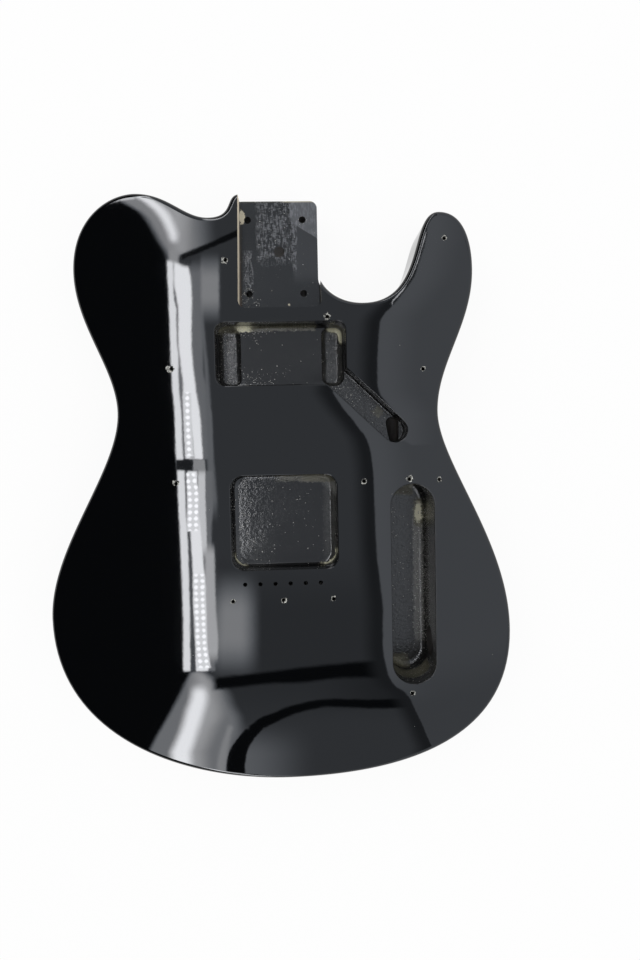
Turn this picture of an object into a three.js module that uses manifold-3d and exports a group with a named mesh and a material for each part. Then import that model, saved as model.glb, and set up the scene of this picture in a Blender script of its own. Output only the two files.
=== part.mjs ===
// A bare single-cutaway electric guitar body: four boards glued edge to edge, routed and drilled for
// the neck, two pickups and the controls, with six string ferrules pressed into its back.
// Sizes are in millimetres. The body lies on its back: +Z points out of its front, +Y towards the neck
// and +X towards the treble side. The origin is under the middle of the body, on its back face.

import * as THREE from 'three';
import { mergeVertices } from 'three/addons/utils/BufferGeometryUtils.js';
import Module from 'manifold-3d';

const wasm = await Module();
wasm.setup();

// Blank
const bodyWidth = 320;
const bodyLength = 406;
const bodyThickness = 44.5;
const edgeRadius = 3.2;
const bassSeamX = -54;
const middleSeamX = -10.5;
const trebleSeamX = 54;

// Neck pocket and its screws
const pocketCentreX = 2.5;
const pocketWidth = 57;
const pocketTaper = 1.7;
const pocketLength = 76.2;
const pocketDepth = 15.9;
const pocketCornerRadius = 5;
const neckScrewSpacingX = 38.1;
const neckScrewSpacingY = 50.8;
const neckScrewHoleRadius = 2.4;
const dimpleRadius = 3.7;
const dimpleDepth = 4;
const dimpleOffsetY = 3.5;

// Heel, the part of the body under the pocket
const heelSetback = 0.8;
const heelHalfWidth = 26.9;
const heelCornerRadius = 5;
const heelTipRun = 1.8;
const heelTipHandle = 11.5;
const heelNotchRise = 23;
const heelNotchHandle = 7;

// Neck pickup cavity: a shelf between two deeper ears
const neckCavityCentreX = 2.2;
const neckCavityWidth = 89;
const neckCavityLength = 43;
const neckCavityGap = 9.5;
const neckCavityCornerRadius = 6.5;
const shelfDepth = 19;
const shelfWidth = 57;
const earDepth = 27;
const earMargin = 1.2;

// Open wiring channel from the neck pickup cavity towards the controls
const channelWidth = 17;
const channelDepth = 16;
const channelStartInsetX = 7;
const channelStartInsetY = 6;
const channelRunX = 40;
const channelRunY = 38;

// Bridge pickup cavity, string holes and bridge screws
const stringSetback = 189.5;
const stringSpacing = 10.5;
const stringCount = 6;
const stringHoleRadius = 1.5;
const bridgeCavityCentreX = 1.9;
const bridgeCavityWidth = 73.6;
const bridgeCavityLength = 65.7;
const bridgeCavityDepth = 19;
const bridgeCavityCornerRadius = 9;
const bridgeCavityToStrings = 9.7;
const bridgeScrewSetback = 11.7;
const bridgeScrewSpacing = 35;
const bridgeScrewCount = 3;
const bridgeScrewDepth = 18;

// Control cavity, its plate's screws and the jack bore
const controlCavityCentreX = 91.2;
const controlCavityWidth = 30.4;
const controlCavityLength = 141.5;
const controlCavityDepth = 38;
const controlCavitySetback = 3.5;
const plateScrewCentreX = 89.3;
const plateScrewSpacing = 151.6;
const plateScrewSetback = 4.8;
const plateScrewDepth = 15;
const jackBoreRadius = 11.1;
const jackBoreInset = 24;

// Drilled wire holes between the cavities
const wireHoleRadius = 4.7;
const bridgeWireHoleShare = 0.22;
const bridgeWireHoleRise = 5.5;
const channelWireHoleFall = 9;

// Small pilot holes
const pilotRadius = 1.3;
const pickguardScrewDepth = 12;
const strapScrewRadius = 1.6;
const strapScrewDepth = 25;

// Floors of the routed cavities meet their walls in a cove
const coveRadius = 4;

// String ferrules
const ferruleFlangeRadius = 4.2;
const ferruleFlangeThickness = 1.2;
const ferruleBarrelRadius = 3.5;
const ferruleLength = 9;
const ferruleEndWall = 1.6;
const ferruleCupRadius = 2.4;
const ferruleStringRadius = 1.5;
const ferruleClearance = 0.3;

// Fineness of the curves, and how far a cut runs past the face that it opens
const outlineStep = 6;
const edgeSteps = 4;
const cornerSteps = 4;
const coveSteps = 3;
const roundSteps = 20;
const pilotSteps = 10;
const overrun = 6;

// Places worked out from the sizes above
const halfWidth = bodyWidth / 2;
const halfLength = bodyLength / 2;
const heelEndY = halfLength - heelSetback;
const pocketEndY = heelEndY - pocketLength;
const pocketHalfWidth = (y) => pocketWidth / 2 - (pocketTaper * (y - pocketEndY)) / pocketLength;
const heelTrebleX = pocketCentreX + heelHalfWidth;
const neckCavityY = pocketEndY - neckCavityGap - neckCavityLength / 2;
const stringY = pocketEndY - stringSetback;
const bridgeScrewY = stringY - bridgeScrewSetback;
const bridgeCavityY = stringY + bridgeCavityToStrings + bridgeCavityLength / 2;
const controlCavityY = stringY - controlCavitySetback;
const plateScrewY = stringY - plateScrewSetback;
const jackBoreY = controlCavityY - controlCavityLength / 2 + jackBoreInset;

// The outline's stops lie where the edge runs straight across the body or straight along it. heading is
// the way round, anticlockwise seen from the front. x and the handles of a stop that heads across are
// shares of half the width, y and the handles of one that heads along are shares of half the length.
const east = [1, 0];
const north = [0, 1];
const west = [-1, 0];
const south = [0, -1];
const outlineShares = [
  { name: 'bass neck dip', x: -0.281, y: 0.921, heading: west, before: 0.119, after: 0.1 },
  { name: 'bass shoulder', x: -0.581, y: 1, heading: west, before: 0.138, after: 0.113 },
  { name: 'bass upper bout', x: -0.85, y: 0.744, heading: south, before: 0.177, after: 0.177 },
  { name: 'bass waist', x: -0.688, y: 0.281, heading: south, before: 0.148, after: 0.192 },
  { name: 'bass lower bout', x: -1, y: -0.414, heading: south, before: 0.246, after: 0.424 },
  { name: 'tail', x: 0.012, y: -1, heading: east, before: 0.46, after: 0.473 },
  { name: 'treble lower bout', x: 1, y: -0.502, heading: north, before: 0.406, after: 0.315 },
  { name: 'treble waist', x: 0.688, y: 0.266, heading: north, before: 0.177, after: 0.163 },
  { name: 'treble upper bout', x: 0.844, y: 0.739, heading: north, before: 0.182, after: 0.089 },
  { name: 'horn tip', x: 0.7, y: 0.933, heading: west, before: 0.113, after: 0.131 },
  { name: 'cutaway floor', x: 0.372, y: 0.635, heading: west, before: 0.275, after: 0.125 },
];

// Pickguard screws as shares of half the width and half the length
const pickguardScrewShares = [
  [-0.21, 0.779],
  [0.216, 0.588],
  [0.72, 0.842],
  [0.623, 0.408],
  [-0.451, 0.423],
  [-0.448, 0.038],
  [0.36, 0.031],
  [0.688, 0.032],
];

// Solids from three.js geometry
function solidOf(geometry) {
  geometry.deleteAttribute('normal');
  geometry.deleteAttribute('uv');
  const merged = mergeVertices(geometry);
  return new wasm.Manifold(
    new wasm.Mesh({
      numProp: 3,
      vertProperties: merged.attributes.position.array,
      triVerts: Uint32Array.from(merged.index.array),
    }),
  );
}

function geometryOf(solid) {
  const { vertProperties, triVerts } = solid.getMesh();
  const geometry = new THREE.BufferGeometry();
  geometry.setAttribute('position', new THREE.BufferAttribute(vertProperties, 3));
  geometry.setIndex(new THREE.BufferAttribute(triVerts, 1));
  geometry.computeVertexNormals();
  return geometry;
}

// The body's outline, from its stops and the heel
function outlinePoints() {
  const stops = outlineShares.map(({ x, y, heading, before, after }) => {
    const reach = heading[0] === 0 ? halfLength : halfWidth;
    return { x: x * halfWidth, y: y * halfLength, heading, before: before * reach, after: after * reach };
  });
  const heelTip = {
    x: pocketCentreX - pocketHalfWidth(heelEndY) + heelTipRun,
    y: heelEndY,
    heading: west,
    after: heelTipHandle,
  };
  const notchY = pocketEndY + heelNotchRise;
  const notch = { x: heelTrebleX, y: notchY, heading: north, before: heelNotchHandle };
  const chain = [heelTip, ...stops, notch];
  const path = new THREE.Path();
  path.moveTo(heelTip.x, heelTip.y);
  for (let i = 1; i < chain.length; i += 1) {
    const from = chain[i - 1];
    const to = chain[i];
    path.bezierCurveTo(
      from.x + from.heading[0] * from.after,
      from.y + from.heading[1] * from.after,
      to.x - to.heading[0] * to.before,
      to.y - to.heading[1] * to.before,
      to.x,
      to.y,
    );
  }
  const cornerY = heelEndY - heelCornerRadius;
  path.lineTo(heelTrebleX, cornerY);
  path.absarc(heelTrebleX - heelCornerRadius, cornerY, heelCornerRadius, 0, Math.PI / 2);
  path.lineTo(heelTip.x, heelTip.y);
  return path.curves.flatMap((curve) => {
    const isCorner = curve.isEllipseCurve === true;
    const steps = isCorner ? cornerSteps : Math.ceil(curve.getLength() / outlineStep);
    return curve.getSpacedPoints(steps).slice(0, -1);
  });
}

// The blank before any cut, its edges rounded front and back
function blank() {
  const geometry = new THREE.ExtrudeGeometry(new THREE.Shape(outlinePoints()), {
    depth: bodyThickness - 2 * edgeRadius,
    bevelThickness: edgeRadius,
    bevelSize: edgeRadius,
    bevelOffset: -edgeRadius,
    bevelSegments: edgeSteps,
  });
  geometry.translate(0, 0, edgeRadius);
  return solidOf(geometry);
}

// A rectangle with round corners, centred on x, y
function roundedRectangle(x, y, width, length, radius) {
  const right = x + width / 2 - radius;
  const left = x - width / 2 + radius;
  const top = y + length / 2 - radius;
  const bottom = y - length / 2 + radius;
  const shape = new THREE.Shape();
  shape.absarc(right, bottom, radius, -Math.PI / 2, 0);
  shape.absarc(right, top, radius, 0, Math.PI / 2);
  shape.absarc(left, top, radius, Math.PI / 2, Math.PI);
  shape.absarc(left, bottom, radius, Math.PI, Math.PI * 1.5);
  return shape;
}

// What a router takes out of the front down to depth, with or without a cove round its floor
function routed(shape, depth, cove = 0) {
  const geometry = new THREE.ExtrudeGeometry(shape, {
    depth: depth - cove + overrun,
    curveSegments: cornerSteps,
    bevelEnabled: cove > 0,
    bevelThickness: cove,
    bevelSize: cove,
    bevelOffset: -cove,
    bevelSegments: coveSteps,
  });
  geometry.translate(0, 0, bodyThickness - depth + cove);
  return solidOf(geometry);
}

// What a drill takes out between two points
function drilled(from, to, radius, steps = pilotSteps) {
  const way = new THREE.Vector3().subVectors(to, from);
  const geometry = new THREE.CylinderGeometry(radius, radius, way.length(), steps);
  const up = new THREE.Vector3(0, 1, 0);
  geometry.applyQuaternion(new THREE.Quaternion().setFromUnitVectors(up, way.clone().normalize()));
  const middle = new THREE.Vector3().addVectors(from, to).divideScalar(2);
  geometry.translate(middle.x, middle.y, middle.z);
  return solidOf(geometry);
}

// A hole drilled down at x, y from the face at height top
function drilledDown(x, y, top, depth, radius) {
  const mouth = new THREE.Vector3(x, y, top + overrun);
  return drilled(mouth, new THREE.Vector3(x, y, top - depth), radius);
}

// A hole bored up into the back at x, y
function boredUp(x, y, depth, radius) {
  return drilled(new THREE.Vector3(x, y, -overrun), new THREE.Vector3(x, y, depth), radius, roundSteps);
}

// Neck pocket, which narrows a little towards its open end, with four screw holes and a shallow dimple
function neckPocketCuts() {
  const floor = bodyThickness - pocketDepth;
  const cornerX = pocketWidth / 2 - pocketCornerRadius;
  const cornerY = pocketEndY + pocketCornerRadius;
  const openY = halfLength + overrun;
  const openX = pocketHalfWidth(openY);
  const shape = new THREE.Shape();
  shape.moveTo(pocketCentreX - openX, openY);
  shape.lineTo(pocketCentreX - pocketWidth / 2, cornerY);
  shape.absarc(pocketCentreX - cornerX, cornerY, pocketCornerRadius, Math.PI, Math.PI * 1.5);
  shape.absarc(pocketCentreX + cornerX, cornerY, pocketCornerRadius, -Math.PI / 2, 0);
  shape.lineTo(pocketCentreX + openX, openY);
  const cuts = [routed(shape, pocketDepth)];
  const middleY = pocketEndY + pocketLength / 2;
  for (const x of [-neckScrewSpacingX / 2, neckScrewSpacingX / 2]) {
    for (const y of [middleY - neckScrewSpacingY / 2, middleY + neckScrewSpacingY / 2]) {
      cuts.push(drilledDown(x, y, floor, floor + overrun, neckScrewHoleRadius));
    }
  }
  const point = new THREE.ConeGeometry(dimpleRadius, dimpleDepth, roundSteps);
  point.rotateX(-Math.PI / 2);
  point.translate(pocketCentreX, middleY + dimpleOffsetY, floor - dimpleDepth / 2);
  cuts.push(solidOf(point));
  return cuts;
}

// Neck pickup cavity: the shelf that covers it all, and an ear at each end
function neckCavityCuts() {
  const whole = roundedRectangle(
    neckCavityCentreX,
    neckCavityY,
    neckCavityWidth,
    neckCavityLength,
    neckCavityCornerRadius,
  );
  const cuts = [routed(whole, shelfDepth, coveRadius)];
  const earWidth = (neckCavityWidth - shelfWidth) / 2 - earMargin;
  for (const side of [-1, 1]) {
    const ear = roundedRectangle(
      neckCavityCentreX + side * (shelfWidth + earWidth) / 2,
      neckCavityY,
      earWidth,
      neckCavityLength - 2 * earMargin,
      neckCavityCornerRadius - earMargin,
    );
    cuts.push(routed(ear, earDepth, coveRadius));
  }
  return cuts;
}

// Where the wiring channel starts inside the neck pickup cavity, and where it ends
const channelStart = new THREE.Vector3(
  neckCavityCentreX + neckCavityWidth / 2 - channelStartInsetX,
  neckCavityY - neckCavityLength / 2 + channelStartInsetY,
  bodyThickness - channelDepth,
);
const channelEnd = new THREE.Vector3(
  channelStart.x + channelRunX,
  channelStart.y - channelRunY,
  channelStart.z,
);

// The channel runs slantwise with round ends, and a drilled hole leads on from it to the controls
function channelCuts() {
  const angle = Math.atan2(-channelRunY, channelRunX);
  const radius = channelWidth / 2;
  const shape = new THREE.Shape();
  shape.absarc(channelEnd.x, channelEnd.y, radius, angle - Math.PI / 2, angle + Math.PI / 2);
  shape.absarc(channelStart.x, channelStart.y, radius, angle + Math.PI / 2, angle + Math.PI * 1.5);
  const mouth = new THREE.Vector3(channelEnd.x, channelEnd.y + 2 * wireHoleRadius, channelEnd.z);
  const exit = new THREE.Vector3(
    (channelEnd.x + controlCavityCentreX) / 2,
    controlCavityY + controlCavityLength / 2 - controlCavityWidth / 2,
    channelEnd.z - wireHoleRadius - channelWireHoleFall,
  );
  return [routed(shape, channelDepth), drilled(mouth, exit, wireHoleRadius, roundSteps)];
}

// Bridge pickup cavity, with the wire hole drilled level from it into the control cavity
function bridgeCavityCuts() {
  const shape = roundedRectangle(
    bridgeCavityCentreX,
    bridgeCavityY,
    bridgeCavityWidth,
    bridgeCavityLength,
    bridgeCavityCornerRadius,
  );
  const holeY = bridgeCavityY - bridgeWireHoleShare * bridgeCavityLength;
  const holeZ = bodyThickness - bridgeCavityDepth + bridgeWireHoleRise;
  const wallX = bridgeCavityCentreX + bridgeCavityWidth / 2;
  const mouth = new THREE.Vector3(wallX - wireHoleRadius, holeY, holeZ);
  const exit = new THREE.Vector3(controlCavityCentreX, holeY, holeZ);
  return [
    routed(shape, bridgeCavityDepth, coveRadius),
    drilled(mouth, exit, wireHoleRadius, roundSteps),
  ];
}

// Control cavity, and the jack bore that reaches it from the body's treble side
function controlCavityCuts() {
  const shape = roundedRectangle(
    controlCavityCentreX,
    controlCavityY,
    controlCavityWidth,
    controlCavityLength,
    controlCavityWidth / 2,
  );
  const inside = new THREE.Vector3(controlCavityCentreX, jackBoreY, bodyThickness / 2);
  const outside = new THREE.Vector3(halfWidth + overrun, jackBoreY, bodyThickness / 2);
  return [
    routed(shape, controlCavityDepth, coveRadius),
    drilled(inside, outside, jackBoreRadius, roundSteps),
  ];
}

// Where the strings come through, from the bass side to the treble side
const stringXs = Array.from(
  { length: stringCount },
  (_, i) => (i - (stringCount - 1) / 2) * stringSpacing,
);

// Each string hole is drilled through, then bored and counterbored from the back for its ferrule
function stringCuts() {
  const boreRadius = ferruleBarrelRadius + ferruleClearance;
  const counterboreRadius = ferruleFlangeRadius + ferruleClearance;
  return stringXs.flatMap((x) => [
    drilledDown(x, stringY, bodyThickness, bodyThickness, stringHoleRadius),
    boredUp(x, stringY, ferruleLength + ferruleClearance, boreRadius),
    boredUp(x, stringY, ferruleFlangeThickness, counterboreRadius),
  ]);
}

// Pilot holes for the bridge, the control plate, the pickguard and the two strap buttons
function pilotCuts() {
  const cuts = [];
  for (let i = 0; i < bridgeScrewCount; i += 1) {
    const x = (i - (bridgeScrewCount - 1) / 2) * bridgeScrewSpacing;
    cuts.push(drilledDown(x, bridgeScrewY, bodyThickness, bridgeScrewDepth, pilotRadius));
  }
  for (const y of [plateScrewY - plateScrewSpacing / 2, plateScrewY + plateScrewSpacing / 2]) {
    cuts.push(drilledDown(plateScrewCentreX, y, bodyThickness, plateScrewDepth, pilotRadius));
  }
  for (const [x, y] of pickguardScrewShares) {
    cuts.push(
      drilledDown(x * halfWidth, y * halfLength, bodyThickness, pickguardScrewDepth, pilotRadius),
    );
  }
  const stopX = (stop) => outlineShares.find(({ name }) => name === stop).x * halfWidth;
  const shoulderX = stopX('bass shoulder');
  const tailX = stopX('tail');
  const middleZ = bodyThickness / 2;
  const strapReach = halfLength - strapScrewDepth;
  cuts.push(
    drilled(
      new THREE.Vector3(shoulderX, strapReach, middleZ),
      new THREE.Vector3(shoulderX, halfLength + overrun, middleZ),
      strapScrewRadius,
    ),
    drilled(
      new THREE.Vector3(tailX, -strapReach, middleZ),
      new THREE.Vector3(tailX, -halfLength - overrun, middleZ),
      strapScrewRadius,
    ),
  );
  return cuts;
}

// One board: the part of the finished body between two upright glue planes
function board(body, fromX, toX) {
  const slab = new THREE.BoxGeometry(toX - fromX, bodyLength + 2 * overrun, bodyThickness + 2 * overrun);
  slab.translate((fromX + toX) / 2, 0, bodyThickness / 2);
  return geometryOf(body.intersect(solidOf(slab)));
}

// A flanged ferrule turned from the bar: a cup for the string's ball end with a small hole in its floor
function ferruleGeometry() {
  const cupDepth = ferruleLength - ferruleEndWall;
  const profile = [
    [ferruleCupRadius, 0],
    [ferruleFlangeRadius, 0],
    [ferruleFlangeRadius, ferruleFlangeThickness],
    [ferruleBarrelRadius, ferruleFlangeThickness],
    [ferruleBarrelRadius, ferruleLength],
    [ferruleStringRadius, ferruleLength],
    [ferruleStringRadius, cupDepth],
    [ferruleCupRadius, cupDepth],
    [ferruleCupRadius, 0],
  ];
  const geometry = new THREE.LatheGeometry(
    profile.map(([radius, height]) => new THREE.Vector2(radius, height)),
    roundSteps,
  );
  geometry.rotateX(Math.PI / 2);
  return geometry;
}

// Materials: gloss black lacquer over the boards, nickel on the ferrules
const lacquer = { color: 0x0b0b0d, roughness: 0.08, metalness: 0 };
const nickel = { color: 0xb9b4a8, roughness: 0.3, metalness: 1 };

function named(name, geometry, finish) {
  const mesh = new THREE.Mesh(geometry, new THREE.MeshStandardMaterial(finish));
  mesh.name = name;
  return mesh;
}

const guitarBody = new THREE.Group();

const cuts = [
  ...neckPocketCuts(),
  ...neckCavityCuts(),
  ...channelCuts(),
  ...bridgeCavityCuts(),
  ...controlCavityCuts(),
  ...stringCuts(),
  ...pilotCuts(),
];
const finished = cuts.reduce((body, cut) => body.subtract(cut), blank());
const edge = halfWidth + overrun;
guitarBody.add(named('bass_side_plank', board(finished, -edge, bassSeamX), lacquer));
guitarBody.add(named('bass_centre_plank', board(finished, bassSeamX, middleSeamX), lacquer));
guitarBody.add(named('treble_centre_plank', board(finished, middleSeamX, trebleSeamX), lacquer));
guitarBody.add(named('treble_side_plank', board(finished, trebleSeamX, edge), lacquer));

stringXs.forEach((x, i) => {
  const ferrule = named(`string_ferrule_${i + 1}`, ferruleGeometry(), nickel);
  ferrule.position.set(x, stringY, 0);
  guitarBody.add(ferrule);
});

export default guitarBody;
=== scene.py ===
import math

import bmesh
import bpy
from mathutils import Euler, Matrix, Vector


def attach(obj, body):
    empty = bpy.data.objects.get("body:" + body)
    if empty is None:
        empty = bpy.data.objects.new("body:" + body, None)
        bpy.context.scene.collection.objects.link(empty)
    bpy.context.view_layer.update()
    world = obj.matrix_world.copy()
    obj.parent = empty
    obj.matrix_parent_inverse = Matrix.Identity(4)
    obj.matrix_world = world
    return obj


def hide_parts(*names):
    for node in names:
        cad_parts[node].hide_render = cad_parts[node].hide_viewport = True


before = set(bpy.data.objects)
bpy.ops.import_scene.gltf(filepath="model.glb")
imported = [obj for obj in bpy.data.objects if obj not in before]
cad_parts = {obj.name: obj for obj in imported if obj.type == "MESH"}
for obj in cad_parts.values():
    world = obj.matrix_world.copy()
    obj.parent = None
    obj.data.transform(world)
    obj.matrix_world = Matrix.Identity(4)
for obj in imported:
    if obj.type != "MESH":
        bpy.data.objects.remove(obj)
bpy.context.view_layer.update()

# The camera
# It looks almost straight down on the front from 44 cm away, with the wide lens of the photograph.
lens_mm = 24.0
sensor_mm = 36.0
camera_place = (0.0122, 0.032, 0.4851)
camera_turn = (-3.075, -2.009, -1.218)

camera_tilt = [math.radians(turn) for turn in camera_turn]
bpy.ops.object.camera_add(location=camera_place, rotation=camera_tilt)
camera = bpy.context.object
camera.data.lens = lens_mm
camera.data.sensor_width = sensor_mm
camera.data.clip_start = 0.01
bpy.context.scene.camera = camera
bpy.context.scene.view_settings.view_transform = "Standard"

# Gloss black lacquer
# Sprayed over sealed wood and polished: almost black, mirror smooth, with a trace of orange peel and
# a few specks of dust under the gloss. The other finishes of the body are made from the same parts.


class Wire:
    """A socket of a finish. Sums written on wires add their Math nodes."""

    def __init__(self, finish, socket):
        self.finish = finish
        self.socket = socket

    def maths(self, operation, *values):
        values = dict(enumerate(values))
        return self.finish.add("ShaderNodeMath", {"operation": operation}, values)["Value"]

    def squared(self):
        return self * self

    def __add__(self, other):
        return self.maths("ADD", self, other)

    def __radd__(self, other):
        return self.maths("ADD", other, self)

    def __sub__(self, other):
        return self.maths("SUBTRACT", self, other)

    def __rsub__(self, other):
        return self.maths("SUBTRACT", other, self)

    def __mul__(self, other):
        return self.maths("MULTIPLY", self, other)

    def __rmul__(self, other):
        return self.maths("MULTIPLY", other, self)

    def __abs__(self):
        return self.maths("ABSOLUTE", self)

    def __lt__(self, other):
        return self.maths("LESS_THAN", self, other)

    def __gt__(self, other):
        return self.maths("GREATER_THAN", self, other)


class Finish:
    """A material, or the white room round the body, and its nodes."""

    def __init__(self, name, owners=bpy.data.materials):
        self.material = owners.new(name)
        self.material.use_nodes = True
        self.material.node_tree.nodes.clear()

    def add(self, kind, settings, sockets):
        """Adds a node, sets it up, joins its sockets and returns its outputs by name."""
        tree = self.material.node_tree
        node = tree.nodes.new(kind)
        for name, value in settings.items():
            if name == "curve":
                self.draw(node.mapping, value)
            else:
                setattr(node, name, value)
        inputs = [socket for socket in node.inputs if socket.enabled]
        by_name = {socket.name: socket for socket in reversed(inputs)}
        for key, value in sockets.items():
            socket = inputs[key] if isinstance(key, int) else by_name[key]
            if isinstance(value, Wire):
                tree.links.new(value.socket, socket)
            else:
                socket.default_value = value
        return {out.name: Wire(self, out) for out in node.outputs if out.enabled}

    def draw(self, mapping, stops):
        """Draws a smooth curve through stops, level beyond its ends."""
        mapping.use_clip = False
        mapping.extend = "HORIZONTAL"
        stops = sorted(stops)
        points = mapping.curves[0].points
        points[0].location, points[1].location = stops[0], stops[-1]
        for between in stops[1:-1]:
            points.new(*between)
        for point in points:
            point.handle_type = "AUTO_CLAMPED"
        mapping.update()

    def place(self):
        """The place on the body in millimetres: x, y and z."""
        coordinates = self.add("ShaderNodeTexCoord", {}, {})["Object"]
        grown = {"Vector": coordinates, "Scale": 1000.0}
        self.at = self.add("ShaderNodeVectorMath", {"operation": "SCALE"}, grown)["Vector"]
        parts = self.add("ShaderNodeSeparateXYZ", {}, {"Vector": self.at})
        return parts["X"], parts["Y"], parts["Z"]

    def ramp(self, value, low, high):
        """0 below low, 1 above high and smooth between. It falls where low is above high."""
        return self.add(
            "ShaderNodeMapRange",
            {"interpolation_type": "SMOOTHSTEP"},
            {"Value": value, "From Min": low, "From Max": high},
        )["Result"]

    def noise(self, grain_mm, detail=2.0, rough=0.5, stretch=(1, 1, 1), shift=0.0):
        """Noise from 0 to 1 whose lumps are about grain_mm across."""
        mapped = {"Vector": self.at, "Location": (shift, shift, 0), "Scale": stretch}
        place = self.add("ShaderNodeMapping", {}, mapped)["Vector"]
        grains = {"Vector": place, "Scale": 1 / grain_mm, "Detail": detail, "Roughness": rough}
        return self.add("ShaderNodeTexNoise", {}, grains)["Fac"]

    def cells(self, size_mm):
        """How far off the nearest of scattered points about size_mm apart is, and a chance for each."""
        found = self.add("ShaderNodeTexVoronoi", {}, {"Vector": self.at, "Scale": 1 / size_mm})
        chance = self.add("ShaderNodeSeparateColor", {}, {"Color": found["Color"]})["Red"]
        return found["Distance"], chance

    def blend(self, share, first, second):
        """A colour between two colours."""
        colours = {"Factor": share, "A": first, "B": second}
        return self.add("ShaderNodeMix", {"data_type": "RGBA"}, colours)["Result"]

    def bump(self, height, depth_mm):
        """A normal from a height of 0 to 1 that stands depth_mm high."""
        raised = {"Distance": depth_mm / 1000, "Height": height}
        return self.add("ShaderNodeBump", {}, raised)["Normal"]

    def close(self, **sockets):
        """Puts a Principled surface on the finish and returns the material."""
        sockets = {name.replace("_", " "): value for name, value in sockets.items()}
        surface = self.add("ShaderNodeBsdfPrincipled", {}, sockets)["BSDF"]
        self.add("ShaderNodeOutputMaterial", {}, {"Surface": surface})
        return self.material


black_paint = (0.0007, 0.0009, 0.0012, 1)
dust_grey = (0.3, 0.29, 0.27, 1)

lacquer = Finish("gloss_black_lacquer")
lacquer.place()
peel = lacquer.noise(9.0, 2.0) + 0.12 * lacquer.noise(1.4, 1.0)
polish = lacquer.noise(60.0, 3.0)
speck_away, speck_chance = lacquer.cells(7.0)
specks = (speck_away < 0.028) * (speck_chance > 0.9)
gloss_lacquer = lacquer.close(
    Base_Color=lacquer.blend(specks, black_paint, dust_grey),
    Roughness=0.01 + 0.02 * polish + 0.4 * specks,
    Normal=lacquer.bump(peel, 0.004),
)

# The glued blank
# Four boards glued edge to edge, sawn to the outline and rounded over along both edges by a router.
body_width = 0.320
body_length = 0.406
thickness = 0.0445
edge_round = 0.0032
edge_segments = 10
curve_steps = 40
pocket_centre_x = 0.0025
pocket_width = 0.057
pocket_mouth_width = 0.0536
pocket_length = 0.0762
heel_setback = 0.0008
heel_half_width = 0.0269
heel_corner = 0.005
heel_tip_run = 0.0018
heel_tip_handle = 0.0115
heel_notch_rise = 0.023
heel_notch_handle = 0.007
quarter_circle_handle = 0.5523
merge_distance = 0.00001

half_width = body_width / 2
half_length = body_length / 2
heel_end_y = half_length - heel_setback
pocket_end_y = heel_end_y - pocket_length
heel_x = pocket_centre_x + heel_half_width

# Stops of the outline, anticlockwise: x and y as shares of half the width and half the length, the
# way that it heads there, and its handles before and after, as shares of the half that they lie along
east, north, west, south = (1, 0), (0, 1), (-1, 0), (0, -1)
outline_stops = [
    (-0.281, 0.921, west, 0.119, 0.1),
    (-0.581, 1.0, west, 0.138, 0.113),
    (-0.85, 0.744, south, 0.177, 0.177),
    (-0.688, 0.281, south, 0.148, 0.192),
    (-1.0, -0.414, south, 0.246, 0.424),
    (0.012, -1.0, east, 0.46, 0.473),
    (1.0, -0.502, north, 0.406, 0.315),
    (0.688, 0.266, north, 0.177, 0.163),
    (0.844, 0.739, north, 0.182, 0.089),
    (0.7, 0.933, west, 0.113, 0.131),
    (0.372, 0.635, west, 0.275, 0.125),
]


def pocket_side(y):
    """Half the neck pocket's width at y."""
    share = (y - pocket_end_y) / pocket_length
    return (pocket_width + (pocket_mouth_width - pocket_width) * share) / 2


def stop(x, y, heading, before, after):
    """A point of the outline with its two handles."""
    point = Vector((x, y, 0))
    way = Vector((heading[0], heading[1], 0))
    return point - before * way, point, point + after * way


corner_handle = heel_corner * quarter_circle_handle
corner_y = heel_end_y - heel_corner
notch_y = pocket_end_y + heel_notch_rise
straight = (corner_y - notch_y) / 3
heel_tip_x = pocket_centre_x - pocket_side(heel_end_y) + heel_tip_run
corner_x = heel_x - heel_corner
heel_top = (corner_x - heel_tip_x) / 3
outline_points = [stop(heel_tip_x, heel_end_y, west, heel_top, heel_tip_handle)]
for x, y, heading, before, after in outline_stops:
    half = half_width if heading[0] else half_length
    at_x, at_y = x * half_width, y * half_length
    outline_points.append(stop(at_x, at_y, heading, before * half, after * half))
outline_points += [
    stop(heel_x, notch_y, north, heel_notch_handle, straight),
    stop(heel_x, corner_y, north, straight, corner_handle),
    stop(corner_x, heel_end_y, west, corner_handle, heel_top),
]


def work_on(piece):
    """Opens one object in edit mode with nothing selected."""
    bpy.ops.object.select_all(action="DESELECT")
    piece.select_set(True)
    bpy.context.view_layer.objects.active = piece
    bpy.ops.object.mode_set(mode="EDIT")
    bpy.ops.mesh.select_mode(type="EDGE")
    bpy.ops.mesh.select_all(action="DESELECT")


select_modes = {"verts": "VERT", "edges": "EDGE", "faces": "FACE"}


def choose(piece, parts, test):
    """Selects the verts, edges or faces of the open object that pass the test."""
    bpy.ops.mesh.select_mode(type=select_modes[parts])
    mesh = bmesh.from_edit_mesh(piece.data)
    mesh.normal_update()
    for element in getattr(mesh, parts):
        element.select_set(bool(test(element)))
    mesh.select_flush_mode()
    bmesh.update_edit_mesh(piece.data)


def level(height):
    """A test for what lies wholly at one height."""

    def lies(element):
        return all(abs(vert.co.z - height) < merge_distance for vert in element.verts)

    return lies


def round_off(offset, segments):
    """Rounds the edges that are selected."""
    bpy.ops.mesh.bevel(offset=offset, segments=segments, affect="EDGES", clamp_overlap=False)


def close_up():
    """Leaves edit mode."""
    bpy.ops.object.mode_set(mode="OBJECT")


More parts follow.
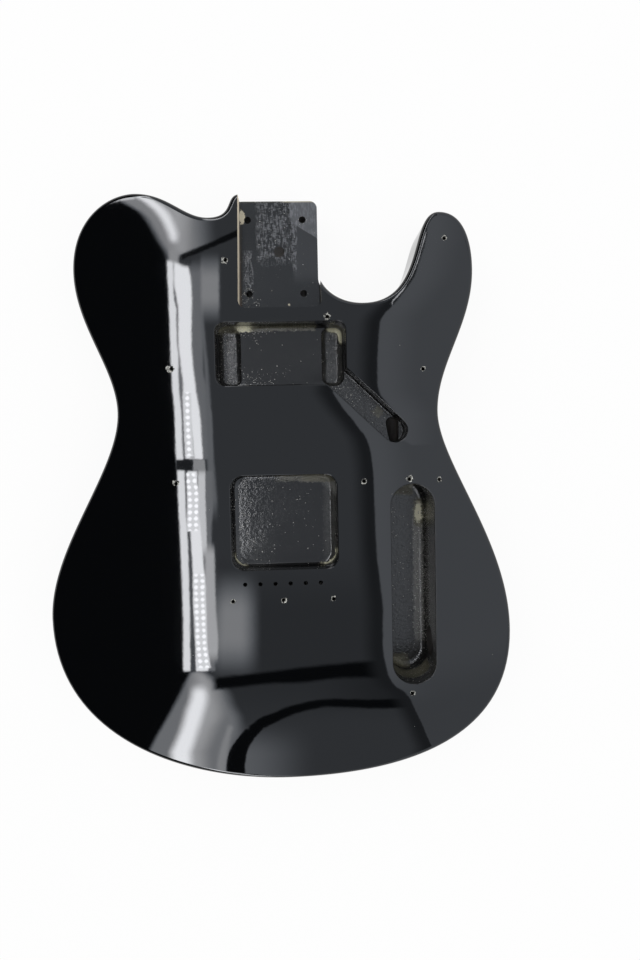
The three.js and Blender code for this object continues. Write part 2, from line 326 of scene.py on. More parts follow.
bpy.ops.object.select_all(action="DESELECT")
bpy.ops.curve.primitive_bezier_curve_add(location=(0, 0, 0))
body = bpy.context.object
body.name = "body_blank"
body.data.dimensions = "2D"
body.data.fill_mode = "NONE"
body.data.resolution_u = curve_steps
spline = body.data.splines[0]
spline.bezier_points.add(len(outline_points) - 2)
for knot, (before, at, after) in zip(spline.bezier_points, outline_points):
    knot.handle_left_type = "FREE"
    knot.handle_right_type = "FREE"
    knot.handle_left = before
    knot.co = at
    knot.handle_right = after
spline.use_cyclic_u = True
bpy.ops.object.convert(target="MESH")
body = bpy.context.object
body.data.materials.append(gloss_lacquer)
work_on(body)
bpy.ops.mesh.select_all(action="SELECT")
bpy.ops.mesh.remove_doubles(threshold=merge_distance)
bpy.ops.mesh.edge_face_add()
bpy.ops.mesh.extrude_region_move(TRANSFORM_OT_translate={"value": (0, 0, thickness)})
bpy.ops.mesh.select_all(action="SELECT")
bpy.ops.mesh.normals_make_consistent(inside=False)
choose(body, "edges", lambda edge: level(0)(edge) or level(thickness)(edge))
round_off(edge_round, edge_segments)
close_up()

# The routed cavities
# Two pickup cavities, a wiring channel and the control cavity, cut from the front with a round-nosed
# router bit and sprayed with the rest: rough wood under a thin, dusty coat of the same black.
# Their coves carry painted highlights in cream and painted sheen in grey, and some of their pale flecks
# are painted glints.
cove = 0.004
cove_segments = 5
corner_segments = 10
slot_sides = 48
clearance = 0.006
neck_cavity = (0.0022, 0.095, 0.089, 0.043)
neck_cavity_corner = 0.0065
shelf_width = 0.057
shelf_depth = 0.019
ear_depth = 0.027
ear_margin = 0.0012
channel_from = (0.0397, 0.0795)
channel_to = (0.0797, 0.0415)
channel_width = 0.017
channel_depth = 0.016
channel_cove = 0.0012
bridge_cavity = (0.0019, -0.02095, 0.0736, 0.0657)
bridge_cavity_corner = 0.009
bridge_cavity_depth = 0.019
bridge_hole_share = 0.22
bridge_hole_rise = 0.0055
control_cavity = (0.0912, -0.067, 0.0304, 0.1415)
control_cavity_depth = 0.038
wire_hole_radius = 0.0047
wire_hole_end = (0.08545, -0.01145, 0.0148)
hole_nose_share = 0.8
hole_nose_segments = 6
drill_sides = 24
upright_height = 0.001
near_start = 0.0001
rim_break = 0.0006
rim_segments = 3
wall_slope = 0.3
flat_slope = 0.99

overspray_black = (0.0035, 0.0035, 0.004, 1)
haze_and_sheen_grey = (0.12, 0.12, 0.115, 1)
thin_olive = (0.06, 0.056, 0.036, 1)
cream_and_highlight = (0.6, 0.58, 0.43, 1)
fleck_grey = (0.14, 0.14, 0.135, 1)
fleck_white = (0.62, 0.61, 0.57, 1)


def overspray(name, wrinkle_mm, wear):
    """The finish inside a cavity. wear tells at a place how dusty the paint is, with painted glints
    among the flecks, how thin it is, with painted cream highlights, how hazy it is, with painted sheen,
    and how rough it is.
    """
    finish = Finish(name)
    x, y, z = finish.place()
    ragged = 5.0 * finish.noise(2.5, 3.0, 0.6) - 2.5
    dust_and_glints, thin_and_highlight, haze_and_sheen, rough = wear(finish, x + ragged, y - ragged, z)
    patches = finish.noise(6.0, 3.0)
    grit = finish.noise(0.9, 2.0)
    wrinkles = finish.noise(wrinkle_mm, 3.0, 0.55)
    away, chance = finish.cells(1.0)
    # Pale flecks of dust, some of them painted glints where their share is high.
    flecks = finish.ramp(away + 0.3 * grit, 0.54, 0.4) * (chance < dust_and_glints * (0.5 + patches))
    thin_and_highlight = thin_and_highlight * (0.55 + 0.9 * grit)
    olive = finish.ramp(thin_and_highlight, 0.15, 0.42)
    # Grey haze on the paint, and painted sheen where the coves face the light.
    painted = finish.blend(haze_and_sheen * (0.3 + 1.4 * patches) * grit * 2.0, overspray_black, haze_and_sheen_grey)
    painted = finish.blend(olive, painted, thin_olive)
    # Cream where the paint is bare, and painted highlights on the coves.
    painted = finish.blend(finish.ramp(thin_and_highlight, 0.5, 1.25), painted, cream_and_highlight)
    fleck = finish.blend(finish.ramp(grit, 0.42, 0.6), fleck_grey, fleck_white)
    return finish.close(
        Base_Color=finish.blend(flecks, painted, fleck),
        Roughness=0.09 + 0.12 * rough * patches + 0.3 * flecks + 0.35 * olive,
        Normal=finish.bump(rough * (wrinkles + 0.3 * grit) + 0.3 * flecks, 0.3),
    )


def settled(name, *finishes):
    """Names the new primitive, puts its place in its mesh and gives it its finishes."""
    piece = bpy.context.object
    piece.name = name
    bpy.ops.object.transform_apply(location=True, rotation=True, scale=True)
    for finish in finishes:
        piece.data.materials.append(finish)
    return piece


def upright(edge):
    """Whether an edge of a cutter goes up."""
    return abs(edge.verts[0].co.z - edge.verts[1].co.z) > upright_height


def box_cutter(name, cavity, depth, corner, finish):
    """A bit's path with round corners and a cove round its floor, from above the front."""
    centre_x, centre_y, width, length = cavity
    floor = thickness - depth
    top = thickness + clearance
    bpy.ops.mesh.primitive_cube_add(
        size=1,
        location=(centre_x, centre_y, (floor + top) / 2),
        scale=(width, length, top - floor),
    )
    cutter = settled(name, finish)
    work_on(cutter)
    choose(cutter, "edges", upright)
    round_off(corner, corner_segments)
    choose(cutter, "edges", level(floor))
    round_off(cove, cove_segments)
    close_up()
    return cutter


def slot_cutter(name, start, end, width, depth, finish, foot):
    """A round bit's straight path from start to end."""
    floor = thickness - depth
    top = thickness + clearance
    run = Vector(end) - Vector(start)
    half_step = math.pi / slot_sides
    bpy.ops.mesh.primitive_cylinder_add(
        vertices=slot_sides,
        radius=width / 2,
        depth=top - floor,
        location=(start[0], start[1], (floor + top) / 2),
        rotation=(0, 0, math.atan2(run.y, run.x) + half_step),
    )
    cutter = settled(name, finish)
    work_on(cutter)
    origin = Vector(start)
    choose(cutter, "verts", lambda vert: (vert.co.xy - origin).dot(run) > 0)
    bpy.ops.transform.translate(value=(run.x, run.y, 0))
    choose(cutter, "edges", level(floor))
    round_off(foot, cove_segments)
    close_up()
    return cutter


def drill(name, start, end, radius, finish, sides=drill_sides):
    """A straight drilled hole between two points."""
    start, end = Vector(start), Vector(end)
    run = end - start
    bpy.ops.mesh.primitive_cylinder_add(
        vertices=sides,
        radius=radius,
        depth=run.length,
        location=(start + end) / 2,
        rotation=run.to_track_quat("Z", "Y").to_euler(),
    )
    return settled(name, finish)


def cut(cutter):
    """Takes the cutter's shape out of the body. The cut faces keep the cutter's finish."""
    taken = body.modifiers.new("cut", "BOOLEAN")
    taken.operation = "DIFFERENCE"
    taken.object = cutter
    taken.solver = "MANIFOLD"
    taken.material_mode = "TRANSFER"
    work_on(body)
    close_up()
    bpy.ops.object.modifier_apply(modifier=taken.name)
    bpy.data.objects.remove(cutter)


# Neck pickup cavity: a smooth shelf between two deeper, dusty ears. The numbers of a wear function
# are places on the body in millimetres, and shares of 0 to 1.
def neck_wear(finish, x, y, z):
    ears = finish.ramp(z, 23.0, 20.0)
    left_ear = ears * finish.ramp(x, -24.0, -28.0)
    right_ear = ears * finish.ramp(x, 28.0, 32.0)
    streak = finish.ramp(abs(x + 36.5), 4.0, 2.0)
    upper = finish.ramp(y, 104.0, 109.0) * finish.ramp(x, 0.0, -12.0)
    lower = finish.ramp(y, 91.0, 80.0) * finish.ramp(x, 16.0, -12.0)
    dust_and_glints = 0.01 + 0.08 * ears + left_ear * (0.1 + 0.45 * streak) + 0.2 * upper + 0.2 * lower
    # The cove at the foot of the top wall is cream: thin paint, and a painted highlight brightest round
    # x = -24.
    foot = finish.ramp(y, 112.2, 113.6) * finish.ramp(z, 30.5, 28.5) * finish.ramp(x, 30.0, 26.0)
    painted_highlight = finish.ramp(abs(x + 24.0), 11.0, 0.0)
    diagonal = x + y
    # The rounded corner at the top of the right ear gets a painted cream highlight, and painted sheen
    # round it.
    corner = finish.ramp(diagonal, 147.5, 152.5) * finish.ramp(z, 25.0, 20.0)
    corner = corner * finish.ramp(z, 17.6, 18.6)
    around = finish.ramp(diagonal, 149.0, 154.0) * finish.ramp(z, 40.0, 28.0)
    thin_and_highlight = foot * (0.31 + 0.9 * painted_highlight) + 1.6 * corner + 0.34 * around
    thin_and_highlight = thin_and_highlight + 0.25 * finish.ramp(y - x, 148.0, 153.0)
    haze_and_sheen = 0.05 + 0.12 * ears + 0.1 * right_ear + 1.1 * around
    return dust_and_glints, thin_and_highlight, haze_and_sheen, 0.06 + 0.9 * ears + 0.2 * lower


neck_cavity_finish = overspray("neck_cavity_overspray", 2.0, neck_wear)
shelf_cut = ("neck_cavity_cut", neck_cavity, shelf_depth, neck_cavity_corner)
cut(box_cutter(*shelf_cut, neck_cavity_finish))
centre_x, centre_y, width, length = neck_cavity
ear_width = (width - shelf_width) / 2 - ear_margin
ear_corner = neck_cavity_corner - ear_margin
for side in (-1, 1):
    ear_x = centre_x + side * (shelf_width + ear_width) / 2
    ear = (ear_x, centre_y, ear_width, length - 2 * ear_margin)
    cut(box_cutter("neck_cavity_ear_cut", ear, ear_depth, ear_corner, neck_cavity_finish))


# Wiring channel, and the hole drilled on from it to the controls
def channel_wear(finish, x, y, z):
    near_ear = finish.ramp(x, 62.0, 48.0)
    olive = finish.ramp(abs(x - 70.0) + abs(y - 55.0), 9.0, 3.0)
    return 0.04 + 0.12 * near_ear, 0.3 * olive, 0.08, 1.0


channel_finish = overspray("channel_overspray", 1.9, channel_wear)
channel_cut = ("channel_cut", channel_from, channel_to, channel_width, channel_depth)
cut(slot_cutter(*channel_cut, channel_finish, channel_cove))

# Hole walls are painted almost black as painted shade deep in the narrow holes, with browner rings of
# the wood.
hole_shade_black = (0.004, 0.0035, 0.003, 1)
hole_shade_brown = (0.016, 0.012, 0.009, 1)

drilled = Finish("drilled_wood_in_shade")
drilled.place()
rings = drilled.noise(0.9, 3.0, 0.6)
drilled_wood_in_shade = drilled.close(
    Base_Color=drilled.blend(rings, hole_shade_black, hole_shade_brown),
    Roughness=0.55 + 0.3 * rings,
    Normal=drilled.bump(rings, 0.1),
)

hole_y = channel_to[1] + 2 * wire_hole_radius
hole_start = Vector((channel_to[0], hole_y, thickness - channel_depth))
hole_end = Vector(wire_hole_end)
drilled_on = drill("channel_wire_hole", hole_start, hole_end, wire_hole_radius, drilled_wood_in_shade)
down_hole = (hole_end - hole_start).normalized()


def at_start(edge):
    """Whether an edge lies at the upper end of the hole."""
    return all((vert.co - hole_start).dot(down_hole) < near_start for vert in edge.verts)


work_on(drilled_on)
choose(drilled_on, "edges", at_start)
round_off(hole_nose_share * wire_hole_radius, hole_nose_segments)
close_up()
cut(drilled_on)


# Bridge pickup cavity, and the wire hole drilled level from it to the controls
def bridge_wear(finish, x, y, z):
    # The flecks along the bass side streak are partly painted glints.
    streak = finish.ramp(abs(x + 27.0), 5.0, 1.5) * finish.ramp(abs(y + 10.0), 24.0, 14.0)
    left = finish.ramp(x, -8.0, -26.0) * finish.ramp(y, -34.0, -26.0)
    upper = finish.ramp(y, -2.0, 5.0) * finish.ramp(x, -6.0, -16.0)
    lower = finish.ramp(x, 0.0, -18.0) * finish.ramp(y, -28.0, -38.0)
    calm = 0.7 * finish.ramp(x - 1.6 * y, 34.0, 62.0)
    dust_and_glints = (0.04 + 0.05 * left + 0.22 * streak + 0.15 * upper + 0.1 * lower) * (1 - calm)
    foot = finish.ramp(z, 33.0, 29.5)
    head = finish.ramp(y, 3.5, 7.5) * finish.ramp(x, -16.0, 2.0) * foot
    from_right = (x - 29.7).squared() + (y + 44.8).squared()
    right_corner = finish.ramp(from_right, 24.0, 36.0) * finish.ramp(x - y, 76.0, 79.0)
    from_left = (x + 25.9).squared() + (y + 44.8).squared()
    left_corner = finish.ramp(from_left, 24.0, 36.0) * finish.ramp(x + y, -74.0, -77.0)
    # The treble side's cove and the top right corner get painted sheen in grey.
    side = finish.ramp(x, 28.0, 33.0) + finish.ramp(x + y, 31.0, 38.0)
    # Thin cream lines round the lower corners' coves are painted highlights.
    right_highlight_line = finish.ramp(from_right, 58.0, 66.0) * finish.ramp(x - y, 79.0, 83.0)
    left_highlight_line = finish.ramp(from_left, 58.0, 66.0) * finish.ramp(x + y, -77.0, -81.0)
    low_foot = finish.ramp(z, 28.6, 27.6)
    thin_and_highlight = (0.3 + 0.25 * finish.ramp(x, 10.0, 26.0)) * head
    thin_and_highlight = thin_and_highlight + 0.17 * foot * (right_corner + left_corner)
    thin_and_highlight = thin_and_highlight + 0.9 * low_foot * (right_highlight_line + left_highlight_line)
    top_right = finish.ramp(x + y, 32.0, 42.0)
    haze_and_sheen = 0.02 + 0.25 * side * foot + 0.12 * lower + 0.9 * top_right * foot
    return dust_and_glints, thin_and_highlight, haze_and_sheen, (0.48 + 0.1 * streak) * (1 - calm)


bridge_cavity_finish = overspray("bridge_cavity_overspray", 2.4, bridge_wear)
bridge_cut = ("bridge_cavity_cut", bridge_cavity, bridge_cavity_depth, bridge_cavity_corner)
cut(box_cutter(*bridge_cut, bridge_cavity_finish))
centre_x, centre_y, width, length = bridge_cavity
hole_y = centre_y - bridge_hole_share * length
hole_z = thickness - bridge_cavity_depth + bridge_hole_rise
hole_start = (centre_x + width / 2 - wire_hole_radius, hole_y, hole_z)
hole_end = (control_cavity[0], hole_y, hole_z)
cut(drill("bridge_wire_hole", hole_start, hole_end, wire_hole_radius, drilled_wood_in_shade))


# Control cavity: deep, round-ended, with thin paint and painted highlights at its ends and along the
# treble side, and painted sheen along the treble side's cove
def control_wear(finish, x, y, z):
    along = finish.ramp(y, -12.0, -20.0) * finish.ramp(y, -122.0, -112.0)
    wall = finish.ramp(x, 103.0, 105.5) * finish.ramp(z, 28.0, 22.0) * along
    streak = finish.ramp(abs(y + 73.0), 12.0, 6.0)
    head = finish.ramp(y, -11.0, -3.0) * finish.ramp(x, 101.0, 96.0)
    # Painted sheen and flecks along the treble side's cove.
    edge = finish.ramp(abs(x - 101.5), 4.6, 2.2) * finish.ramp(z, 18.0, 12.0)
    # A painted cream highlight on the treble cove near the upper end.
    painted_highlight = finish.ramp(abs(x - 102.0), 5.0, 0.6) * finish.ramp(abs(y + 20.0), 15.0, 1.0)
    painted_highlight = painted_highlight * finish.ramp(z, 15.0, 9.0)
    tail_floor = finish.ramp(y, -124.0, -132.0) * finish.ramp(z, 12.0, 9.0)
    tail_floor = tail_floor * finish.ramp(x, 98.0, 88.0)
    # The round end's wall is painted lighter: thin paint and a painted highlight.
    tail_wall = finish.ramp(y, -126.0, -132.0) * finish.ramp(z, 12.0, 18.0)
    tail_wall = tail_wall * finish.ramp(z, 38.0, 26.0)
    dust_and_glints = 0.06 + wall * (0.3 + 0.45 * streak) + 0.4 * edge * along + 0.2 * tail_wall
    thin_and_highlight = 0.5 * head + 1.6 * painted_highlight + 0.7 * tail_floor + 0.62 * tail_wall
    return dust_and_glints, thin_and_highlight, 0.12 + 1.5 * edge * along, 1.0


control_cavity_finish = overspray("control_cavity_overspray", 2.2, control_wear)
centre_x, centre_y, width, length = control_cavity
reach = (length - width) / 2
slot_ends = (centre_x, centre_y - reach), (centre_x, centre_y + reach)
control_cut = ("control_cavity_cut", *slot_ends, width, control_cavity_depth)
cut(slot_cutter(*control_cut, control_cavity_finish, cove))

# The rims of the cavities are sanded off a little before they are sprayed
work_on(body)


def is_rim(edge):
    """Whether an edge joins the flat front to a wall."""
    if not level(thickness)(edge) or len(edge.link_faces) != 2:
        return False
    slopes = sorted(face.normal.z for face in edge.link_faces)
    return slopes[0] < wall_slope and slopes[1] > flat_slope


choose(body, "edges", is_rim)
round_off(rim_break, rim_segments)
close_up()

# The neck pocket
# Routed to a flat floor after spraying had begun, so its bass wall is bare cream wood and its floor is
# glossy, scuffed by the neck. Four screw holes go through it, and a drill point has left a dimple.
pocket_depth = 0.0159
pocket_corner = 0.005
pocket_foot = 0.0005
pocket_foot_segments = 3
end_wall_reach = 0.001
screw_spacing_x = 0.0381
screw_spacing_y = 0.0508
screw_hole_radius = 0.0024
dimple_radius = 0.0037
dimple_depth = 0.004
dimple_offset = 0.0035
dimple_sides = 32
scuff_grey = (0.13, 0.135, 0.15, 1)
floor_black = (0.009, 0.01, 0.011, 1)
cream_wood = (0.92, 0.83, 0.66, 1)
tan_wood = (0.78, 0.66, 0.48, 1)
brown_line = (0.05, 0.03, 0.018, 1)
worn_cream = (0.4, 0.37, 0.28, 1)
torn_cream = (0.5, 0.46, 0.35, 1)

pocket = Finish("pocket_floor")
x, y, z = pocket.place()


def round_about(at_x, at_y, inner, outer):
    """1 within the inner distance from a place and 0 beyond the outer one."""
    away = (x - at_x).squared() + (y - at_y).squared()
    return pocket.ramp(away, outer * outer, inner * inner)


pulled = pocket.noise(1.2, 3.0, 0.6, (1, 0.27, 1))
crossed = pocket.noise(0.9, 2.0, 0.5, (0.4, 1, 1), 7.0)
blotches = pocket.noise(5.0, 3.0, 0.55, (1, 0.6, 1))
fine = pocket.noise(0.7, 2.0)
field = pocket.ramp(abs(x), 14.5, 11.0) * pocket.ramp(y, 155.0, 166.0)
field = field * (0.7 + 0.3 * pocket.ramp(x, -6.0, 2.0))
bass_run = pocket.ramp(abs(x + 19.5), 4.5, 2.5) * pocket.ramp(y, 170.0, 166.0)
bass_run = bass_run * pocket.ramp(y, 138.0, 146.0)
treble_run = pocket.ramp(abs(x - 13.8), 2.2, 1.0) * pocket.ramp(y, 147.0, 156.0)
worked = field + 0.8 * bass_run + 0.8 * treble_run
scuffs = pocket.ramp(pulled + 0.35 * blotches + 0.5 * crossed, 0.86, 1.16) * worked
# Painted reflection: lighter grey in the floor's treble corner by the heel, and lower down along the
# treble side.
painted_reflection = pocket.ramp(x, 9.9, 10.5) * pocket.ramp(y + 0.614 * x, 194.2, 195.2)
painted_reflection = painted_reflection * (0.45 + 0.6 * pocket.ramp(pulled, 0.4, 0.7))
painted_reflection = painted_reflection + 0.18 * pocket.ramp(x, 11.0, 14.0) * pocket.ramp(y, 142.0, 154.0)
groove = pocket.ramp(abs(x - 8.8 + 0.055 * (y - 199.7)), 0.55, 0.25) * pocket.ramp(y, 163.0, 168.0)
dusty = pocket.ramp(x, -6.0, -22.0) * pocket.ramp(y, 146.0, 132.0)
rings = round_about(-19.05, 138.7, 2.6, 4.6) + round_about(19.05, 189.5, 2.6, 4.4)
rings = rings + 0.8 * round_about(20.0, 138.9, 2.2, 3.4)
away, chance = pocket.cells(0.95)
showing = 0.003 + 0.4 * dusty + 0.5 * rings + 0.02 * field
flecks = pocket.ramp(away + 0.3 * fine, 0.52, 0.4) * (chance < showing)
frayed = pocket.noise(1.1, 3.0, 0.75, (1, 0.6, 1), 3.0)
flake = (x + 22.8).squared() + 0.2 * (y - 191.5).squared()
torn_side = pocket.ramp(0.9 * pocket.ramp(flake, 9.0, 0.0) + 2.2 * frayed, 1.5, 1.65)
torn_side = torn_side + pocket.ramp(round_about(8.6, 131.0, 0.1, 1.2) + fine, 0.95, 1.15)
front_edge = pocket.ramp(y, 201.2, 201.7)
worn_edge = front_edge * pocket.ramp(x, 3.0, 9.0) * pocket.ramp(x, 28.0, 26.0)
foot_line = pocket.ramp(x, -24.2, -25.2)
grey = pocket.blend((scuffs * 0.5 + painted_reflection * 0.6) * (1 - groove), floor_black, scuff_grey)
grey = pocket.blend(foot_line, grey, brown_line)
grey = pocket.blend(0.12 * front_edge + 0.7 * worn_edge, grey, worn_cream)
grey = pocket.blend(torn_side, grey, torn_cream)
fleck = pocket.blend(pocket.ramp(fine, 0.42, 0.6), fleck_grey, fleck_white)
pocket_floor = pocket.close(
    Base_Color=pocket.blend(flecks, grey, fleck),
    Roughness=0.12 + 0.4 * scuffs + 0.3 * painted_reflection + 0.3 * flecks + 0.4 * torn_side,
    Normal=pocket.bump(fine * 0.15 * worked + scuffs * 0.5 + flecks + torn_side - groove, 0.12),
)

bare = Finish("bare_pocket_wall")
x, y, z = bare.place()
grain = bare.noise(0.8, 3.0, 0.6, (0.3, 0.06, 1))
stained = bare.ramp(y, 166.0, 140.0) * bare.ramp(bare.noise(0.9, 2.0, 0.6), 0.45, 0.6)
line = bare.ramp(z, 32.5 + 5.0 * stained, 30.0)
tint = bare.blend(grain, cream_wood, tan_wood)
# The treble wall is grey: its black paint with a painted sheen.
tint = bare.blend(bare.ramp(x, 20.0, 25.0), tint, haze_and_sheen_grey)
pocket_wall = bare.close(
    Base_Color=bare.blend(line, tint, brown_line),
    Roughness=0.62 + 0.2 * grain,
    Normal=bare.bump(grain, 0.08),
)

pocket_mid_y = pocket_end_y + pocket_length / 2
floor = thickness - pocket_depth
top = thickness + clearance
mouth_y = half_length + clearance
bpy.ops.mesh.primitive_cube_add(
    size=1,
    location=(pocket_centre_x, (pocket_end_y + mouth_y) / 2, (floor + top) / 2),
    scale=(pocket_width, mouth_y - pocket_end_y, top - floor),
)
cutter = settled("neck_pocket_cut", pocket_wall, pocket_floor, gloss_lacquer)
work_on(cutter)
choose(cutter, "verts", lambda vert: vert.co.y > half_length)
bpy.ops.transform.resize(
    value=(pocket_side(mouth_y) / pocket_side(pocket_end_y), 1, 1),
    center_override=(pocket_centre_x, mouth_y, floor),
)


def closed_corner(edge):
    """Whether an edge is a corner at the pocket's closed end."""
    return upright(edge) and all(vert.co.y < pocket_mid_y for vert in edge.verts)


choose(cutter, "edges", closed_corner)
round_off(pocket_corner, corner_segments)
choose(cutter, "edges", level(floor))
round_off(pocket_foot, pocket_foot_segments)
close_up()
for face in cutter.data.polygons:
    if face.normal.z < -wall_slope:
        face.material_index = 1
    elif face.center.y < pocket_end_y + end_wall_reach:
        face.material_index = 2
cut(cutter)
for side_x in (-0.5, 0.5):
    for side_y in (-0.5, 0.5):
        hole_x = side_x * screw_spacing_x
        hole_y = pocket_mid_y + side_y * screw_spacing_y
        upper_end = (hole_x, hole_y, floor + clearance)
        lower_end = (hole_x, hole_y, -clearance)
        cut(drill("neck_screw_hole", upper_end, lower_end, screw_hole_radius, drilled_wood_in_shade))
bpy.ops.mesh.primitive_cone_add(
    vertices=dimple_sides,
    radius1=dimple_radius,
    radius2=0,
    depth=dimple_depth,
    location=(pocket_centre_x, pocket_mid_y + dimple_offset, floor - dimple_depth / 2),
    rotation=(math.pi, 0, 0),
)
cut(settled("drill_dimple", drilled_wood_in_shade))

# Jack bore, string holes and strap-button pilots
# Drilled after spraying. Their walls are painted almost black, painted shade deep in the holes, with
# some brown of the wood showing.
strings_behind_pocket = 0.1895
string_y = pocket_end_y - strings_behind_pocket
string_spacing = 0.0105
string_count = 6
string_radius = 0.0015
ferrule_bore_radius = 0.0038
ferrule_bore_depth = 0.0093
ferrule_seat_radius = 0.0045
ferrule_seat_depth = 0.0012
jack_radius = 0.0111
jack_from_end = 0.024
jack_y = control_cavity[1] - control_cavity[3] / 2 + jack_from_end
bore_sides = 48
ferrule_bore_sides = 32
strap_radius = 0.0016
strap_depth = 0.025
strap_x_shares = (-0.581, 0.012)
jack_end = (control_cavity[0], jack_y, thickness / 2)
jack_start = (half_width + clearance, jack_y, thickness / 2)
cut(drill("jack_bore", jack_start, jack_end, jack_radius, drilled_wood_in_shade, bore_sides))
string_xs = [(i - (string_count - 1) / 2) * string_spacing for i in range(string_count)]
for string_x in string_xs:
    through = (string_x, string_y, thickness + clearance)
    behind = (string_x, string_y, -clearance)
    bore_end = (string_x, string_y, ferrule_bore_depth)
    seat_end = (string_x, string_y, ferrule_seat_depth)
    cut(drill("string_hole", through, behind, string_radius, drilled_wood_in_shade))
    ferrule_bore = ("ferrule_bore", behind, bore_end, ferrule_bore_radius)
    cut(drill(*ferrule_bore, drilled_wood_in_shade, ferrule_bore_sides))
    ferrule_seat = ("ferrule_seat", behind, seat_end, ferrule_seat_radius)
    cut(drill(*ferrule_seat, gloss_lacquer, ferrule_bore_sides))
for strap_share, way in zip(strap_x_shares, (1, -1)):
    strap_x = strap_share * half_width
    outside = (strap_x, way * (half_length + clearance), thickness / 2)
    inside = (strap_x, way * (half_length - strap_depth), thickness / 2)
    cut(drill("strap_pilot", outside, inside, strap_radius, drilled_wood_in_shade))

# Pilot holes with torn rims
# The screws have pulled up the lacquer and some wood as they came out. Each hole has a pale, ragged
# chip round its mouth, some of them wide on one side.
pilot_radius = 0.0013
pilot_sides = 16
bridge_screws_behind = 0.0117
chip_depth = 0.0007
chip_sides = 13
chip_foot_share = 0.4
chip_mouth_share = 1.35
chip_raggedness = 0.16
torn_pale = (0.52, 0.52, 0.48, 1)
torn_dark = (0.012, 0.011, 0.01, 1)

torn = Finish("torn_wood")
torn.place()
shreds = torn.noise(1.5, 3.0, 0.75)
torn_wood = torn.close(
    Base_Color=torn.blend(torn.ramp(shreds, 0.44, 0.56), torn_dark, torn_pale),
    Roughness=0.55 + 0.3 * shreds,
    Normal=torn.bump(shreds, 0.3),
)

bridge_screw_y = string_y - bridge_screws_behind
# x, y, depth, chip radius, and how far the chip's middle lies off the hole
pilots = [
    (-0.035, bridge_screw_y, 0.018, 0.0018, 0.0, 0.0),
    (0.0, bridge_screw_y, 0.018, 0.002, 0.0003, 0.0),
    (0.035, bridge_screw_y, 0.018, 0.002, 0.0, 0.0002),
    (0.0893, 0.007, 0.015, 0.0023, 0.0, 0.0004),
    (0.0893, -0.1446, 0.015, 0.002, 0.0002, 0.0004),
    (-0.0336, 0.15814, 0.012, 0.0023, -0.0004, -0.0004),
    (0.03456, 0.11936, 0.012, 0.0025, -0.0004, 0.0),
    (0.1152, 0.17093, 0.012, 0.0018, 0.0, 0.0002),
    (0.09968, 0.08282, 0.012, 0.0017, 0.0, 0.0002),
    (-0.07216, 0.08587, 0.012, 0.0026, -0.0008, 0.0),
    (-0.07168, 0.00771, 0.012, 0.0022, 0.0, 0.0005),
    (0.0576, 0.00629, 0.012, 0.0021, 0.0, 0.0),
    (0.11008, 0.0065, 0.012, 0.0018, 0.0, 0.0),
]


def torn_mouth(x, y, radius, seed):
    """A shallow cone with a ragged edge that chips the front round a hole."""
    bpy.ops.mesh.primitive_cone_add(
        vertices=chip_sides,
        radius1=chip_foot_share * radius,
        radius2=chip_mouth_share * radius,
        depth=2 * chip_depth,
        location=(x, y, thickness - chip_depth / 4),
        rotation=(0, 0, seed),
    )
    chip = settled("torn_mouth", torn_wood)
    work_on(chip)
    bpy.ops.mesh.select_all(action="SELECT")
    bpy.ops.transform.vertex_random(offset=chip_raggedness * radius, uniform=1.0, seed=seed)
    bpy.ops.mesh.quads_convert_to_tris()
    close_up()
    return chip


for seed, (x, y, depth, chip_radius, off_x, off_y) in enumerate(pilots):
    above = (x, y, thickness + clearance)
    bottom = (x, y, thickness - depth)
    cut(drill("pilot_hole", above, bottom, pilot_radius, drilled_wood_in_shade, pilot_sides))
    cut(torn_mouth(x + off_x, y + off_y, chip_radius, seed + 1))

# The four boards
# Plain wood planks of different widths. Once glued, routed and sprayed they show no seam, so each
# board here is its share of the finished body, with bare glue faces where it meets its neighbours.
seams = (-0.054, -0.0105, 0.054)
board_names = ("bass_side", "bass_centre", "treble_centre", "treble_side")
glue_tan = (0.45, 0.33, 0.2, 1)
growth_brown = (0.3, 0.2, 0.11, 1)
flat_face_area = 0.00006
flat_face_rise = 0.9999
smooth_angle = math.radians(35)

glued = Finish("glued_wood_face")
glued.place()
growth = glued.noise(5.0, 3.0, 0.6, (1, 0.05, 1.5))
glued_face = glued.close(
    Base_Color=glued.blend(growth, glue_tan, growth_brown),
    Roughness=0.7 + 0.1 * growth,
    Normal=glued.bump(growth, 0.1),
)

limits = [-half_width - clearance, *seams, half_width + clearance]
for name, from_x, to_x in zip(board_names, limits, limits[1:]):
    bpy.ops.mesh.primitive_cube_add(
        size=1,
        location=((from_x + to_x) / 2, 0, thickness / 2),
        scale=(to_x - from_x, body_length + 2 * clearance, thickness + 2 * clearance),
    )
    slab = settled("board_space", glued_face)
    work_on(body)
    close_up()
    bpy.ops.object.duplicate()
    board = bpy.context.object
    board.name = name + "_board"
    kept = board.modifiers.new("kept", "BOOLEAN")
    kept.operation = "INTERSECT"
    kept.object = slab
    kept.solver = "MANIFOLD"
    kept.material_mode = "TRANSFER"
    bpy.ops.object.modifier_apply(modifier=kept.name)
    bpy.data.objects.remove(slab)
    bpy.ops.object.shade_smooth_by_angle(angle=smooth_angle)
    for face in board.data.polygons:
        if face.area > flat_face_area or abs(face.normal.z) > flat_face_rise:
            face.use_smooth = False
    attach(board, "root")
    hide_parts(name + "_plank")
bpy.data.objects.remove(body)

# String ferrules
# Six flanged nickel-plated ferrules turned from brass and pressed into the back. The cup takes the
# string's ball end, and the string goes on through a small hole in the cup's floor.
flange_radius = 0.0042
flange_thickness = 0.0012
barrel_radius = 0.0035
ferrule_length = 0.009
cup_radius = 0.0024
cup_depth = 0.0074
ferrule_sides = 48
ferrule_edge_break = 0.00015
sharp_bend = math.radians(60)
nickel_grey = (0.62, 0.6, 0.56, 1)
tarnish_grey = (0.5, 0.46, 0.4, 1)

